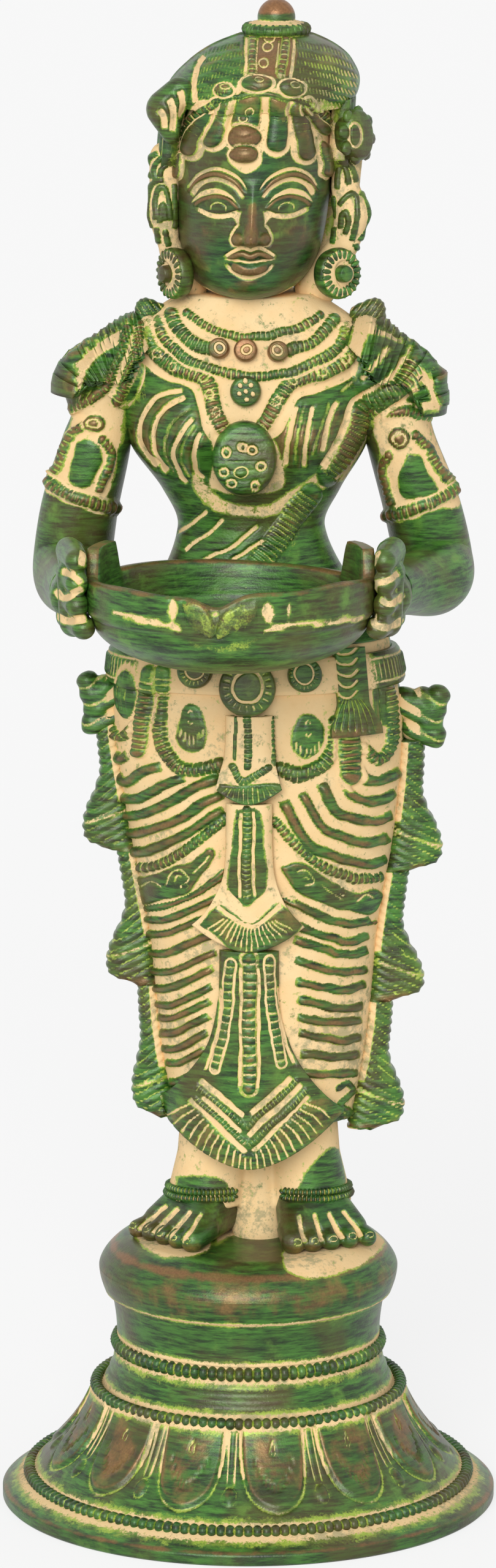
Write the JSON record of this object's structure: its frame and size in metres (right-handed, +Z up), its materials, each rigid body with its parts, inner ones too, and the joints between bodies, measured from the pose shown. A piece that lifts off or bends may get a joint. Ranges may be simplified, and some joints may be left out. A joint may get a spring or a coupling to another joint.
{
  "type": "figural oil lamp",
  "caption": "Cast brass lamp lady on a round bell pedestal with lotus petals, holding out a shallow open oil bowl with a wick notch in both hands.",
  "frame": {"origin": "middle of the flat foot ring, on the plane that the lamp stands on", "axes": "+Z up to the crown's knob, -Y out of the figure's face and over the bowl, +X to the right as seen from the front"},
  "size_m": [0.1, 0.1194, 0.3044],
  "materials": {
    "green_patina_brass": "green patina with cream paint left in the recesses",
    "dark_patina_brass": "dark green patina, milled",
    "worn_copper_brass": "patina rubbed to a copper brown",
    "cream_painted_brass": "cream paint, chalky",
    "bare_brass": "turned, bare"
  },
  "bodies": {
    "root": {"pedestal_bell": "green_patina_brass", "plinth_drum": "green_patina_brass", "left_foot": "green_patina_brass", "right_foot": "green_patina_brass", "skirt_core": "green_patina_brass", "apron_upper": "green_patina_brass", "apron_middle": "green_patina_brass", "apron_lower": "green_patina_brass", "left_streamer": "green_patina_brass", "right_streamer": "green_patina_brass", "left_hip_knot": "green_patina_brass", "right_hip_knot": "green_patina_brass", "torso": "green_patina_brass", "left_arm": "green_patina_brass", "right_arm": "green_patina_brass", "left_shoulder_leaf": "green_patina_brass", "right_shoulder_leaf": "green_patina_brass", "left_hand": "green_patina_brass", "right_hand": "green_patina_brass", "oil_bowl": "green_patina_brass", "crown_cap": "green_patina_brass", "hair_bun": "green_patina_brass", "side_flower": "green_patina_brass", "left_tress": "green_patina_brass", "right_tress": "green_patina_brass", "lower_bead_ring": "dark_patina_brass", "middle_bead_ring": "dark_patina_brass", "neck_bead_ring": "dark_patina_brass", "left_anklet": "dark_patina_brass", "right_anklet": "dark_patina_brass", "girdle": "dark_patina_brass", "left_swag": "dark_patina_brass", "right_swag": "dark_patina_brass", "shoulder_sash": "dark_patina_brass", "choker": "dark_patina_brass", "gem_collar": "dark_patina_brass", "pendant_collar": "dark_patina_brass", "left_armlet": "dark_patina_brass", "right_armlet": "dark_patina_brass", "hair_shell": "dark_patina_brass", "crown_band": "dark_patina_brass", "lotus_petals": "worn_copper_brass", "left_leg_folds": "worn_copper_brass", "right_leg_folds": "worn_copper_brass", "girdle_medallions": "worn_copper_brass", "sash_end": "worn_copper_brass", "collar_gems": "worn_copper_brass", "small_pendant": "worn_copper_brass", "large_pendant": "worn_copper_brass", "head": "worn_copper_brass", "forehead_locks": "worn_copper_brass", "forehead_pendant": "worn_copper_brass", "left_earring": "worn_copper_brass", "right_earring": "worn_copper_brass", "crown_finial": "worn_copper_brass", "shins": "cream_painted_brass", "tie_stud": "bare_brass", "tie_washer": "bare_brass", "tie_nut": "bare_brass"}
  },
  "joints": []
}
